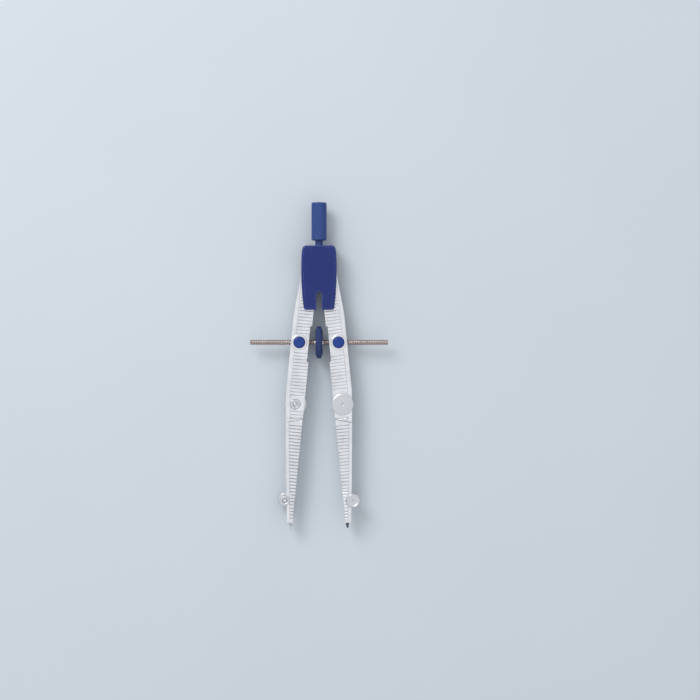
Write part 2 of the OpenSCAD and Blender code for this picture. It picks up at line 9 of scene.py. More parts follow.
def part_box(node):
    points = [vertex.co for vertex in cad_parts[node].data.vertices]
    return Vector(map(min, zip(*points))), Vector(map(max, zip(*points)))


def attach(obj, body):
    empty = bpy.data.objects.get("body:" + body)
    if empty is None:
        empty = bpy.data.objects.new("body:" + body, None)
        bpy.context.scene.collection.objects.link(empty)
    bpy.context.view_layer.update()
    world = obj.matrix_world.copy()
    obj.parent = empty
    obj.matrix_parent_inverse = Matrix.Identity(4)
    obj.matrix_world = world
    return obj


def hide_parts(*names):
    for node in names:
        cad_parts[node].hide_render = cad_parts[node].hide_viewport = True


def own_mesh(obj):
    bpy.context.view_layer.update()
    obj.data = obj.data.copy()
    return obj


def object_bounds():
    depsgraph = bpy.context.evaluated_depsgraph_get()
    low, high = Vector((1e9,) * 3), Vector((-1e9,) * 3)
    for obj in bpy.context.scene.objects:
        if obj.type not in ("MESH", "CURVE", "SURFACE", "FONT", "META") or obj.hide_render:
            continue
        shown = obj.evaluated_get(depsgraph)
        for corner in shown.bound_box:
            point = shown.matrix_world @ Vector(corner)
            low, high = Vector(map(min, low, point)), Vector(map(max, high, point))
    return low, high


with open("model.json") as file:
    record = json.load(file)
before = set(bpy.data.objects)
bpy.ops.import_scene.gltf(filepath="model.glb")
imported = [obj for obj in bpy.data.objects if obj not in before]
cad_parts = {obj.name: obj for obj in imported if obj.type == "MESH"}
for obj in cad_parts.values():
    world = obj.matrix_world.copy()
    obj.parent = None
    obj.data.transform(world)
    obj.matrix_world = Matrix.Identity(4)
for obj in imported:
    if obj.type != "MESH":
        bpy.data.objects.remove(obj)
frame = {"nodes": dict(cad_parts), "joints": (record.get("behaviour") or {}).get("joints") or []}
cad_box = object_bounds()
mm = 0.001

# ---- Head
# Two moulded halves of deep blue ABS, closed on the hinge pins by four screws from the
# back. The mould leaves a fine satin grain; the paler edges are handling polish and a painted highlight along
# the bevels.
hinge = {j["child"]: Vector(j["pos_m"]) for j in frame["joints"] if j["child"].endswith("_leg")}
hinge_y = hinge["right_leg"].y
hinge_x = hinge["right_leg"].x
mid_z = hinge["right_leg"].z
head_blue = (0.008, 0.02, 0.145)
head_edge_wear_and_highlight_blue = (0.1, 0.13, 0.34)


class Shade:
    """A socket that sums can be written with: values go through Math, vectors through Vector Math."""

    def __init__(self, tree, socket=None):
        self.tree = tree
        self.socket = socket

    def node(self, kind, settings=(), inputs=(), output=0):
        """A new node with its settings, then its socket values and links; gives one of its outputs."""
        made = self.tree.nodes.new(kind)
        for key, value in dict(settings).items():
            setattr(made, key, value)
        for key, value in dict(inputs).items():
            if isinstance(value, Shade):
                self.tree.links.new(value.socket, made.inputs[key])
            else:
                made.inputs[key].default_value = value
        return Shade(self.tree, made.outputs[output] if made.outputs else None)

    def sum(self, operation, first, second):
        vector = any(isinstance(v, Shade) and v.socket.type == "VECTOR" for v in (first, second))
        if vector:
            first, second = [v if isinstance(v, Shade) else (v, v, v) for v in (first, second)]
        kind = "ShaderNodeVectorMath" if vector else "ShaderNodeMath"
        return self.node(kind, {"operation": operation}, {0: first, 1: second})

    def __add__(self, other):
        return self.sum("ADD", self, other)

    def __radd__(self, other):
        return self.sum("ADD", other, self)

    def __sub__(self, other):
        return self.sum("SUBTRACT", self, other)

    def __rsub__(self, other):
        return self.sum("SUBTRACT", other, self)

    def __mul__(self, other):
        return self.sum("MULTIPLY", self, other)

    def __rmul__(self, other):
        return self.sum("MULTIPLY", other, self)

    def __abs__(self):
        return self.sum("ABSOLUTE", self, 0.0)

    def most(self, other):
        """The larger of this and the other."""
        return self.sum("MAXIMUM", self, other)

    def ease(self, low, high):
        """0 at low, 1 at high, and a smooth step between them."""
        settings = {"interpolation_type": "SMOOTHSTEP"}
        return self.node("ShaderNodeMapRange", settings, {0: self, 1: low, 2: high})

    def tint(self, first, second):
        """The first colour where this is 0, the second where it is 1."""
        first, second = [v if isinstance(v, Shade) else (*v, 1) for v in (first, second)]
        return self.node("ShaderNodeMix", {"data_type": "RGBA"}, {0: self, 6: first, 7: second}, 2)

    def noise(self, scale, detail=2.0, roughness=0.5):
        """Cloudy noise from 0 to 1, where this is a place in millimetres and scale is per millimetre."""
        inputs = {"Vector": self, "Scale": scale, "Detail": detail, "Roughness": roughness}
        return self.node("ShaderNodeTexNoise", (), inputs)

    def parts(self):
        """The three parts of this vector."""
        split = self.node("ShaderNodeSeparateXYZ", (), {0: self}).socket.node
        return [Shade(self.tree, out) for out in split.outputs]

    def bump(self, depth, strength=1.0):
        """The surface's normal with this as a height, in units of depth metres."""
        return self.node("ShaderNodeBump", (), {"Height": self, "Distance": depth, "Strength": strength})


def start_material(name):
    """A new material: its tree's start, and the place on the piece in millimetres."""
    material = bpy.data.materials.new(name)
    material.use_nodes = True
    material.node_tree.nodes.clear()
    start = Shade(material.node_tree)
    place = start.node("ShaderNodeTexCoord", (), (), 3) * 1000.0
    return material, start, place


def end_material(material, start, inputs):
    """Puts the shader on, with plain numbers on its own sockets and links where the surface varies."""
    surface = start.node("ShaderNodeBsdfPrincipled", (), inputs)
    start.node("ShaderNodeOutputMaterial", (), {0: surface})
    return material


def edge_mask(start, radius, sharp=0.9, flat_from=0.995):
    """1 where an edge turns within the radius and 0 on flat stretches. The turn is the cosine
    between the true normal and the one that a rounded edge would have."""
    soft = start.node("ShaderNodeBevel", {"samples": 4}, {"Radius": radius})
    flat = start.node("ShaderNodeNewGeometry", (), (), 1)
    turn = start.node("ShaderNodeVectorMath", {"operation": "DOT_PRODUCT"}, {0: soft, 1: flat}, 1)
    return 1 - turn.ease(sharp, flat_from)


def moulded_plastic(name, colour, edge_colour, roughness, grain, edges=(0.25 * mm,)):
    """Moulded plastic: fine mould grain, faint clouds in the colour, paler edges for polish from handling,
    which on the head's wide bevel also paint a highlight.
    """
    material, start, place = start_material(name)
    clouds = place.noise(0.35, 3.0)
    fine = place.noise(9.0, 3.0, 0.6)
    # Paler edges: wear from handling, and on the head's wide bevel a painted highlight line.
    pale_edges = edge_mask(start, *edges) * place.noise(1.3, 2.0).ease(0.2, 0.6)
    shaded = [tuple(c * share for c in colour) for share in (0.95, 1.05)]
    base = pale_edges.tint(clouds.ease(0.3, 0.7).tint(*shaded), edge_colour)
    rough = roughness - 0.08 * pale_edges + 0.07 * (place.noise(0.8, 4.0) - 0.5)
    return end_material(material, start, {
        "Base Color": base,
        "Roughness": rough,
        "Specular IOR Level": 0.3,
        "Normal": fine.bump(grain, 0.5),
    })


def dress(piece, material):
    """Gives a piece one material, in every slot it has."""
    if not piece.data.materials:
        piece.data.materials.append(material)
    for own in piece.material_slots:
        own.material = material


def add_piece(name, mesh, body, material, replaced=()):
    """Puts a new mesh, made in the row frame, on its body in place of the CAD nodes named."""
    piece = bpy.data.objects.new(name, mesh)
    bpy.context.scene.collection.objects.link(piece)
    dress(piece, material)
    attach(piece, body)
    if replaced:
        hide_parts(*replaced)
    return piece


def flat_faces(piece):
    """Keeps a piece's flats flat under smooth shading."""
    normals = piece.modifiers.new("flats", "WEIGHTED_NORMAL")
    normals.keep_sharp = True


def finished_mesh(name, shape, sharp_from=None):
    """A mesh from a bmesh, smooth all over or with sharp edges from an angle in degrees."""
    mesh = bpy.data.meshes.new(name)
    shape.to_mesh(mesh)
    shape.free()
    for face in mesh.polygons:
        face.use_smooth = True
    if sharp_from:
        mesh.set_sharp_from_angle(angle=math.radians(sharp_from))
    return mesh


def skinned_mesh(name, rings, sharp_from=None):
    """A closed mesh over a row of rings of points, with flat ends."""
    shape = bmesh.new()
    loops = [[shape.verts.new(point) for point in ring] for ring in rings]
    for low, high in zip(loops, loops[1:]):
        for k in range(len(low)):
            n = (k + 1) % len(low)
            shape.faces.new([low[k], low[n], high[n], high[k]])
    shape.faces.new(loops[0])
    shape.faces.new(loops[-1])
    bmesh.ops.recalc_face_normals(shape, faces=shape.faces)
    return finished_mesh(name, shape, sharp_from)


def turned_mesh(name, outline, place, around=72, shape=None):
    """A body of revolution about Z from radius and height pairs, moved by a matrix.
    shape may change a point's radius and height with its angle, for flutes and knurls."""
    mesh_shape = bmesh.new()
    rings = []
    for radius, height in outline:
        if radius < 1e-9:
            rings.append([mesh_shape.verts.new((0, 0, height))] * around)
            continue
        ring = []
        for k in range(around):
            angle = 2 * math.pi * k / around
            r, h = shape(angle, radius, height) if shape else (radius, height)
            ring.append(mesh_shape.verts.new((r * math.cos(angle), r * math.sin(angle), h)))
        rings.append(ring)
    closed = outline[0][0] > 1e-9
    pairs = list(zip(rings, rings[1:])) + ([(rings[-1], rings[0])] if closed else [])
    for low, high in pairs:
        for k in range(around):
            n = (k + 1) % around
            corners = [low[k], low[n], high[n], high[k]]
            mesh_shape.faces.new([v for i, v in enumerate(corners) if v not in corners[:i]])
    bmesh.ops.transform(mesh_shape, matrix=place, verts=mesh_shape.verts)
    bmesh.ops.recalc_face_normals(mesh_shape, faces=mesh_shape.faces)
    return finished_mesh(name, mesh_shape, 40)


def cut_mesh(mesh, *cutters):
    """The mesh less the cutters."""
    work = bpy.data.objects.new("work", mesh)
    bpy.context.scene.collection.objects.link(work)
    tools = []
    for cutter in cutters:
        tool = bpy.data.objects.new("cutter", cutter)
        bpy.context.scene.collection.objects.link(tool)
        tools.append(tool)
        cut = work.modifiers.new("cut", "BOOLEAN")
        cut.operation = "DIFFERENCE"
        cut.solver = "EXACT"
        cut.object = tool
    bpy.context.view_layer.update()
    result = bpy.data.meshes.new_from_object(work.evaluated_get(bpy.context.evaluated_depsgraph_get()))
    result.name = mesh.name + "_cut"
    for tool in tools + [work]:
        bpy.data.objects.remove(tool)
    for face in result.polygons:
        face.use_smooth = True
    result.set_sharp_from_angle(angle=math.radians(35))
    return result


def prism_mesh(name, points, low, high):
    """A straight-sided block with this outline, used as a cutter."""
    return skinned_mesh(name, [[(x, y, z) for x, y in points] for z in (low, high)])


def arc(x, y, radius, start, end, steps=8):
    """Points of an arc about a centre, in degrees."""
    turns = [math.radians(start + (end - start) * k / steps) for k in range(steps + 1)]
    return [(x + radius * math.cos(a), y + radius * math.sin(a)) for a in turns]


head_low, head_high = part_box("head_front_cover")
head_top = head_high.y - hinge_y
head_foot = head_low.y - hinge_y
head_half_t = head_high.z - mid_z
half_w = 8.2 * mm
widest_y = -1 * mm
bow_r = 138.5 * mm
top_corner_r = 1.9 * mm
foot_corner_r = 0.9 * mm
slot_r = 1.3 * mm
slot_top = head_foot + 8.4 * mm
slot_corner_r = 0.4 * mm
slot_edge = slot_r + slot_corner_r
close = 0.01 * mm
face_bevel = 0.75 * mm
low_face_bevel = 1.25 * mm
widening_from = 2 * mm
widening_len = 14 * mm
slot_bevel = 0.22 * mm
slot_bevel_spread = 0.8
cavity_half_t = 3.4 * mm
wall_start = 2 * mm
gear_room_r = 5.91 * mm
leg_top_room_r = 3.05 * mm
pin_r = 2 * mm
pin_reach = cavity_half_t + 0.9 * mm
stem_r = 1.22 * mm
stem_bore_from = 5.9 * mm
screw_places = [(hinge_x, 0), (4.9 * mm, 8 * mm)]
screw_hole_r = 0.95 * mm
screw_sink_r = 1.75 * mm
screw_sink_depth = 0.6 * mm
past = 1 * mm


def side_at(y):
    """Half the head's width at a height above the hinges: the sides are bowed."""
    return math.sqrt(bow_r ** 2 - (y - widest_y) ** 2) - (bow_r - half_w)


def bevel_at(x, y):
    """The bevel of the front face: wider down the sides, narrow round the wheel's slot."""
    if abs(x) < slot_edge + close and y < slot_top + close:
        return slot_bevel
    low = min(1.0, max(0.0, (widening_from - y) / widening_len))
    on_side = abs(x) > side_at(y) * 0.93
    edge = face_bevel + (low_face_bevel - face_bevel) * low if on_side else face_bevel
    return min(edge, slot_bevel + max(0.0, abs(x) - slot_edge) * slot_bevel_spread)


def evenly(start, end, steps):
    """The values between two ends, without the ends."""
    return [start + (end - start) * k / steps for k in range(1, steps)]


foot_x = side_at(head_foot) - foot_corner_r
top_x = side_at(head_top) - top_corner_r
right_half = (
    arc(0, slot_top - slot_r, slot_r, 90, 0)
    + arc(slot_edge, head_foot + slot_corner_r, slot_corner_r, 180, 270)
    + [(x, head_foot) for x in evenly(slot_edge, foot_x, 6)]
    + arc(foot_x, head_foot + foot_corner_r, foot_corner_r, 270, 360)
    + [(side_at(y), y) for y in evenly(head_foot + foot_corner_r, head_top - top_corner_r, 40)]
    + arc(top_x, head_top - top_corner_r, top_corner_r, 0, 90)
    + [(x, head_top) for x in evenly(top_x, 0, 6)])
head_outline = [Vector(p) for p in
                right_half + [(0, head_top)] + [(-x, y) for x, y in right_half[:0:-1]]]


def head_shell(name, facing_way):
    """One cover: the bowed outline with an eased shallow bevel round its face. Each level is
    a share of the bevel's width inwards and a share of it down from the face."""
    levels = [(0.0, 0.5), (0.03, 0.45), (0.1, 0.38), (0.2, 0.33), (0.8, 0.1), (0.92, 0.03), (1.0, 0.0)]
    rings = [[(point.x, hinge_y + point.y, mid_z) for point in head_outline]]
    for share, drop in levels:
        ring = []
        for k, point in enumerate(head_outline):
            along = (head_outline[(k + 1) % len(head_outline)] - head_outline[k - 1]).normalized()
            bevel = bevel_at(point.x, point.y)
            at = point + Vector((-along.y, along.x)) * bevel * share
            height = head_half_t - drop * bevel
            ring.append((at.x, hinge_y + at.y, mid_z + facing_way * height))
        rings.append(ring)
    return skinned_mesh(name, rings)


def drilled(name, x, y, radius, ends, steps=48):
    """A cutter for a round hole along Z between two heights from the middle plane."""
    rim = arc(x, hinge_y + y, radius, 0, 360, steps)[:-1]
    return prism_mesh(name, rim, *(mid_z + end for end in sorted(ends)))


def cover_cutters(facing_way):
    """What the cover is hollowed by: the legs' and gears' room, the pins, the stem and the screws."""
    cavity = (-facing_way * past, facing_way * cavity_half_t)
    z_low, z_high = sorted(mid_z + end for end in cavity)
    wide, deep = 30 * mm, 40 * mm
    below = [(-wide, hinge_y - deep), (wide, hinge_y - deep),
             (wide, hinge_y + wall_start), (-wide, hinge_y + wall_start)]
    cutters = [prism_mesh("room", below, z_low, z_high)]
    for side in (-1, 1):
        pin_x = side * hinge_x
        turn = 90 if side > 0 else -90
        gear_room = arc(pin_x, hinge_y, gear_room_r, turn, turn + 180, 24)
        cutters.append(prism_mesh("gear_room", gear_room, z_low, z_high))
        cutters.append(drilled("leg_room", pin_x, 0, leg_top_room_r, cavity, 72))
        cutters.append(drilled("pin_seat", pin_x, 0, pin_r, (0, facing_way * pin_reach)))
        if facing_way > 0:
            continue
        for x, y in screw_places:
            for radius, depth in ((screw_hole_r, 0), (screw_sink_r, head_half_t - screw_sink_depth)):
                ends = (-head_half_t - past, -depth)
                cutters.append(drilled("screw_hole", side * x, y, radius, ends))
    bore = Matrix.Translation((0, hinge_y, mid_z)) @ Matrix.Rotation(-math.pi / 2, 4, "X")
    stem = [(0, stem_bore_from), (stem_r, stem_bore_from), (stem_r, 20 * mm), (0, 20 * mm)]
    return cutters + [turned_mesh("stem_bore", stem, bore, 36)]


# The head's wide edge band paints a highlight line along the front bevel, as well as edge wear.
face_wear_and_highlight_edges = (0.55 * mm, 0.955, 1.0)
head_plastic = moulded_plastic("head_plastic", head_blue, head_edge_wear_and_highlight_blue, 0.34, 0.02 * mm, face_wear_and_highlight_edges)
for half, facing_way in (("head_front_cover", 1), ("head_back_cover", -1)):
    shell = cut_mesh(head_shell(half + "_shell", facing_way), *cover_cutters(facing_way))
    cover = add_piece(half + "_shell", shell, "head", head_plastic, (half,))
    flat_faces(cover)

# ---- Hinges and stem, inside the head
# Ground steel pins carry the legs, between thin washers, and a turned steel stem with a
# flange holds the handle to the head.
steel_grey = (0.55, 0.56, 0.58)


def bare_metal(name, colour, dark, roughness):
    """Turned or ground metal with fine cloudy tarnish and small scratches."""
    material, start, place = start_material(name)
    clouds = place.noise(0.9, 4.0, 0.6)
    fine = place.noise(14.0, 2.0, 0.6)
    base = clouds.ease(0.25, 0.75).tint(dark, colour)
    rough = roughness + 0.16 * (clouds - 0.5) + 0.08 * (fine - 0.5)
    return end_material(material, start, {
        "Base Color": base,
        "Metallic": 1.0,
        "Roughness": rough,
        "Normal": fine.bump(0.01 * mm, 0.4),
    })


steel = bare_metal("steel", steel_grey, (0.42, 0.43, 0.45), 0.32)
for node in ("left_hinge_pin", "right_hinge_pin", "hinge_washers", "handle_stem", "left_knee_washers",
             "right_knee_washers", "left_nut_clip", "right_nut_clip"):
    dress(frame["nodes"][node], steel)

# ---- Cover screws
# Four small steel screws with a cross in their heads, sunk in the back cover: one into
# each hinge pin and one above each hinge.
screw_head_r = 1.7 * mm
screw_shank_r = 0.9 * mm
screw_head_t = 0.5 * mm
cross_w = 0.42 * mm
cross_l = 2.3 * mm
cross_depth = 0.32 * mm


def eased(outline, radius, steps=3):
    """An outline of radius and height pairs with its corners rounded."""
    points = [Vector(p) for p in outline]
    out = [points[0]]
    for before, corner, after in zip(points, points[1:], points[2:]):
        reach = min(radius, (before - corner).length * 0.45, (after - corner).length * 0.45)
        a = corner + (before - corner).normalized() * reach
        b = corner + (after - corner).normalized() * reach
        for k in range(steps + 1):
            t = k / steps
            out.append(a * (1 - t) ** 2 + corner * (2 * t * (1 - t)) + b * t * t)
    return out + [points[-1]]


def block_mesh(name, low, high):
    """A plain block between two corners, used as a cutter."""
    shape = bmesh.new()
    bmesh.ops.create_cube(shape, size=1)
    middle = (Vector(low) + Vector(high)) / 2
    for vert in shape.verts:
        vert.co = Vector(v * (b - a) for v, a, b in zip(vert.co, low, high)) + middle
    return finished_mesh(name, shape)


def joined(name, meshes):
    """Several meshes as one."""
    shape = bmesh.new()
    for mesh in meshes:
        shape.from_mesh(mesh)
    out = bpy.data.meshes.new(name)
    shape.to_mesh(out)
    shape.free()
    return out


back_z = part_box("cover_screws")[0].z
front_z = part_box("cover_screws")[1].z
screw_meshes = []
short_len = 4.5 * mm
for side in (-1, 1):
    for (x, y), length in zip(screw_places, (short_len, front_z - back_z)):
        outline = eased([(0, 0), (screw_head_r, 0), (screw_head_r, screw_head_t),
                         (screw_shank_r, screw_head_t), (screw_shank_r, length), (0, length)], 0.12 * mm)
        at = Vector((side * x, hinge_y + y, back_z))
        body = turned_mesh("cover_screw", outline, Matrix.Translation(at), 48)
        cross = []
        for across, along in ((cross_w, cross_l), (cross_l, cross_w)):
            half = Vector((across / 2, along / 2, 0))
            top = Vector((0, 0, cross_depth))
            cross.append(block_mesh("cross", at - half - Vector((0, 0, past - cross_depth)), at + half + top))
        screw_meshes.append(cut_mesh(body, *cross))
screw_steel = bare_metal("screw_steel", (0.66, 0.67, 0.7), (0.5, 0.51, 0.54), 0.26)
add_piece("cover_screws_crosshead", joined("cover_screws_crosshead", screw_meshes), "head",
          screw_steel, ("cover_screws",))

# ---- Handle
# One moulded piece pressed on the stem: a fluted grip for finger and thumb over a plain
# neck. The flutes run out before both ends, and the end is softly rounded.
grip_low, grip_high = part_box("handle_grip")
grip_r = (grip_high.x - grip_low.x) / 2
neck_r = 1.85 * mm
neck_len = 2.55 * mm
flutes = 16
flute_shift = 1 / 6
flute_depth = 0.2 * mm
flute_end = 1.1 * mm
handle_len = grip_high.y - grip_low.y


def smooth_step(low, high, value):
    """0 at low, 1 at high, and a smooth step between them."""
    t = min(1.0, max(0.0, (value - low) / (high - low)))
    return t * t * (3 - 2 * t)


def fluted(angle, radius, height):
    """The grip's surface, with the flutes pressed in between its ends."""
    along = smooth_step(neck_len + 0.5 * mm, neck_len + 0.5 * mm + flute_end, height)
    along *= 1 - smooth_step(handle_len - 0.6 * mm - flute_end, handle_len - 0.6 * mm, height)
    if radius < grip_r * 0.9:
        return radius, height
    wave = 0.5 + 0.5 * math.cos(flutes * angle - math.tau * flute_shift)
    return radius - flute_depth * along * wave ** 3, height


barrel_low = neck_len + 0.3 * mm
barrel_high = handle_len - 0.5 * mm
barrel = [(grip_r, h) for h in [barrel_low, *evenly(barrel_low, barrel_high, 40), barrel_high]]
handle_outline = (
    [(0, 0), (neck_r, 0), (neck_r - 0.06 * mm, neck_len / 2), (neck_r, neck_len - 0.1 * mm),
     (grip_r - 0.35 * mm, neck_len)]
    + barrel
    + [(grip_r - 0.13 * mm, handle_len - 0.16 * mm), (grip_r - 0.5 * mm, handle_len),
       (1.2 * mm, handle_len - 0.05 * mm), (0, handle_len - 0.1 * mm)])
along_y = Matrix.Rotation(-math.pi / 2, 4, "X")
handle_place = Matrix.Translation((0, grip_low.y, mid_z)) @ along_y
handle_plastic = moulded_plastic("handle_plastic", (0.024, 0.057, 0.215), (0.1, 0.16, 0.36), 0.36, 0.012 * mm)
handle = turned_mesh("handle_grip_fluted", handle_outline, handle_place, flutes * 10, fluted)
add_piece("handle_grip_fluted", handle, "head", handle_plastic, ("handle_grip",))

# ---- Legs
# Die castings, plated bright and satin. Fine ribs cross both faces and stop at a smooth
# strip along the outer edge, and painted shade darkens the grooves between the ribs.
# The sizes in the shader are in millimetres: across and down each leg from its hinge.
rest_angle = math.radians(5.7)
outer_edge = 4.45
strip_w = {"upper": 2.0, "lower": 1.5}
taper_start = 58.0
strip_taper = 0.09
strip_curve = 0.00026
thin_from = 72.7
thin_slope = 1.0 / 46.0
leg_half_t = 3.2
groove_depth = 0.24
plate_bright = (0.80, 0.815, 0.84)
plate_dull = (0.72, 0.735, 0.76)
groove_shade_grey = (0.30, 0.32, 0.35)


def leg_metal(name, side, part):
    """Satin plating, with painted shade in the grooves and along the line inside the smooth strip."""
    material, start, place = start_material(name)
    x, y, z = place.parts()
    out = side * x - hinge_x * 1000
    up = y - hinge_y * 1000
    across = out * math.cos(rest_angle) + up * math.sin(rest_angle)
    down = out * math.sin(rest_angle) - up * math.cos(rest_angle)
    beyond = (down - taper_start).most(0.0)
    strip_line = outer_edge - strip_w[part] - strip_taper * beyond - strip_curve * beyond * beyond
    half_t = leg_half_t - thin_slope * (down - thin_from).most(0.0)
    depth = half_t - abs(z - mid_z * 1000)
    # Painted shade in the grooves between the ribs.
    groove = depth.ease(0.015, groove_depth) * (1 - depth.ease(groove_depth + 0.05, groove_depth + 0.12))
    # A thin line of painted shade inside the smooth strip, which is also bumped down.
    line = 1 - abs(across - strip_line).ease(0.03, 0.13)
    line = line * (1 - depth.ease(0.05, 0.1))
    stretched = start.node("ShaderNodeCombineXYZ", (), {0: across * 5.0, 1: down * 0.7, 2: z * 5.0})
    clouds = place.noise(0.25, 4.0, 0.55)
    brushed = stretched.noise(1.4, 3.0, 0.6)
    fine = place.noise(7.0, 3.0, 0.6)
    plate = clouds.ease(0.3, 0.7).tint(plate_dull, plate_bright)
    # Painted shade: the grooves and the strip line are darkened, and made rougher and less metallic.
    painted_groove_shade = (groove * (0.55 + 0.4 * fine)).most(line * 0.75)
    pale_edges = edge_mask(start, 0.12 * mm) * 0.6
    base = pale_edges.tint(painted_groove_shade.tint(plate, groove_shade_grey), (0.9, 0.91, 0.93))
    rough = 0.3 + 0.12 * (clouds - 0.5) + 0.1 * (brushed - 0.5) + 0.2 * painted_groove_shade
    height = 0.5 * fine + 0.5 * brushed - 6.0 * line
    return end_material(material, start, {
        "Base Color": base,
        "Metallic": 1 - 0.25 * painted_groove_shade,
        "Roughness": rough,
        "Normal": height.bump(0.008 * mm, 0.6),
    })


def welded_copy(node):
    """The node's shape with its faces joined, for a piece whose sharp edges are then broken."""
    shape = bmesh.new()
    shape.from_mesh(frame["nodes"][node].data)
    bmesh.ops.remove_doubles(shape, verts=shape.verts, dist=0.0001 * mm)
    return finished_mesh(node + "_eased", shape)


def break_edges(piece, width, angle):
    """Rounds a piece's sharp edges, and keeps its flats flat."""
    bevel = piece.modifiers.new("edges", "BEVEL")
    bevel.width = width
    bevel.segments = 2
    bevel.limit_method = "ANGLE"
    bevel.angle_limit = math.radians(angle)
    bevel.use_clamp_overlap = False
    bevel.miter_outer = "MITER_ARC"
    flat_faces(piece)


leg_edge = 0.07 * mm
for side, name in ((-1, "left"), (1, "right")):
    for part in ("upper", "lower"):
        node = f"{name}_{part}_leg"
        finish = leg_metal(f"{node}_plating", side, part)
        body = f"{name}_leg" if part == "upper" else f"{name}_lower"
        leg = add_piece(f"{node}_casting", welded_copy(node), body, finish, (node,))
        break_edges(leg, leg_edge, 30)

# ---- Knees
# Each knee is a turned screw with a broad crowned head, through the fork and the tongue,
# and a small round nut with four spanner slots on the other face.
turned_bright = (0.70, 0.715, 0.74)
turned_dull = (0.52, 0.53, 0.56)
disc_r = 5.0 * mm
disc_seat = 2.7 * mm
shank_r = 1.5 * mm
thread_r = 0.97 * mm
knee_nut_r = 2.45 * mm


def middle(node):
    """The centre of a CAD node's box."""
    low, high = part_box(node)
    return (low + high) / 2


def turned_metal(name, centre, colour, dull, roughness, ring_pitch=0.16):
    """Plated metal with the rings that the lathe tool leaves round an axis along Z, and broad concentric
    bands of painted sheen in its colour.
    """
    material, start, place = start_material(name)
    x, y, z = place.parts()
    across = start.node("ShaderNodeCombineXYZ", (), {0: x - centre.x * 1000, 1: y - centre.y * 1000})
    radius = start.node("ShaderNodeVectorMath", {"operation": "LENGTH"}, {0: across}, 1)
    uneven = radius + 0.05 * place.noise(0.7, 2.0)
    rings = start.node("ShaderNodeMath", {"operation": "SINE"}, {0: uneven * (2 * math.pi / ring_pitch)})
    clouds = place.noise(0.8, 4.0, 0.6)
    # Broad concentric bands of painted sheen round the axis.
    radial_sheen = start.node("ShaderNodeMath", {"operation": "SINE"}, {0: uneven * 7.0})
    base = (0.6 + 0.12 * radial_sheen + 0.5 * (clouds - 0.5)).tint(dull, colour)
    rough = roughness + 0.14 * (clouds - 0.5) + 0.02 * radial_sheen
    height = 0.5 * rings + 0.4 * place.noise(12.0, 2.0)
    return end_material(material, start, {
        "Base Color": base,
        "Metallic": 1.0,
        "Roughness": rough,
        "Normal": height.bump(0.004 * mm, 0.8),
    })


def facing(centre, side):
    """On the right leg the turned heads face the front; the left leg is the same part turned over."""
    turn = Matrix.Rotation(0 if side > 0 else math.pi, 4, "Y")
    return Matrix.Translation((centre.x, centre.y, mid_z)) @ turn


def slotted(angle, radius, height):
    """The nut's outer face, with four spanner slots in it."""
    near = abs((angle / (math.pi / 2)) % 1 - 0.5) * 2
    deep = smooth_step(0.78, 0.86, near)
    if radius > knee_nut_r * 0.62 and height < -3.3 * mm:
        height += 0.35 * mm * deep
    return radius, height


for side, name in ((-1, "left"), (1, "right")):
    centre = middle(f"{name}_knee_screw")
    finish = turned_metal(f"{name}_knee_metal", centre, turned_bright, turned_dull, 0.27)
    outline = eased([
        (0, -3.2 * mm), (0.3 * mm, -3.25 * mm), (thread_r, -3.25 * mm), (thread_r, -2.3 * mm),
        (shank_r, -2.3 * mm), (shank_r, disc_seat), (disc_r, disc_seat), (disc_r, disc_seat + 0.5 * mm),
        (disc_r - 0.55 * mm, disc_seat + 0.62 * mm), (1.2 * mm, disc_seat + 0.75 * mm),
        (0.55 * mm, disc_seat + 0.72 * mm), (0.4 * mm, disc_seat + 0.3 * mm), (0, disc_seat + 0.25 * mm),
    ], 0.12 * mm)
    add_piece(f"{name}_knee_screw_turned",
              turned_mesh(f"{name}_knee_screw_turned", outline, facing(centre, side), 120),
              f"{name}_leg", finish, (f"{name}_knee_screw",))
    outline = eased([
        (1.05 * mm, -2.35 * mm), (knee_nut_r, -2.35 * mm), (knee_nut_r, -3.25 * mm),
        (knee_nut_r - 0.2 * mm, -3.4 * mm), (1.55 * mm, -3.4 * mm), (1.25 * mm, -3.38 * mm),
        (1.05 * mm, -3.2 * mm),
    ], 0.08 * mm)
    add_piece(f"{name}_knee_nut_slotted",
              turned_mesh(f"{name}_knee_nut_slotted", outline, facing(centre, side), 160, slotted),
              f"{name}_leg", finish, (f"{name}_knee_nut",))

# ---- Clamps
# A knurled thumb screw with a dished head squeezes the slit end of each lower leg on its
# point. Its thread runs in a plain round nut pressed in the other face.
clamp_r = 3.45 * mm
clamp_head_t = 1.7 * mm
clamp_knurls = 30
clamp_nut_r = 2.3 * mm


def knurled(angle, radius, height):
    """The screw's head, with straight knurls round its rim."""
    if radius > clamp_r * 0.93:
        wave = abs((angle * clamp_knurls / (2 * math.pi)) % 1 - 0.5) * 2
        radius -= 0.17 * mm * (1 - wave) * min(1.0, (radius - clamp_r * 0.93) / (clamp_r * 0.05))
    return radius, height


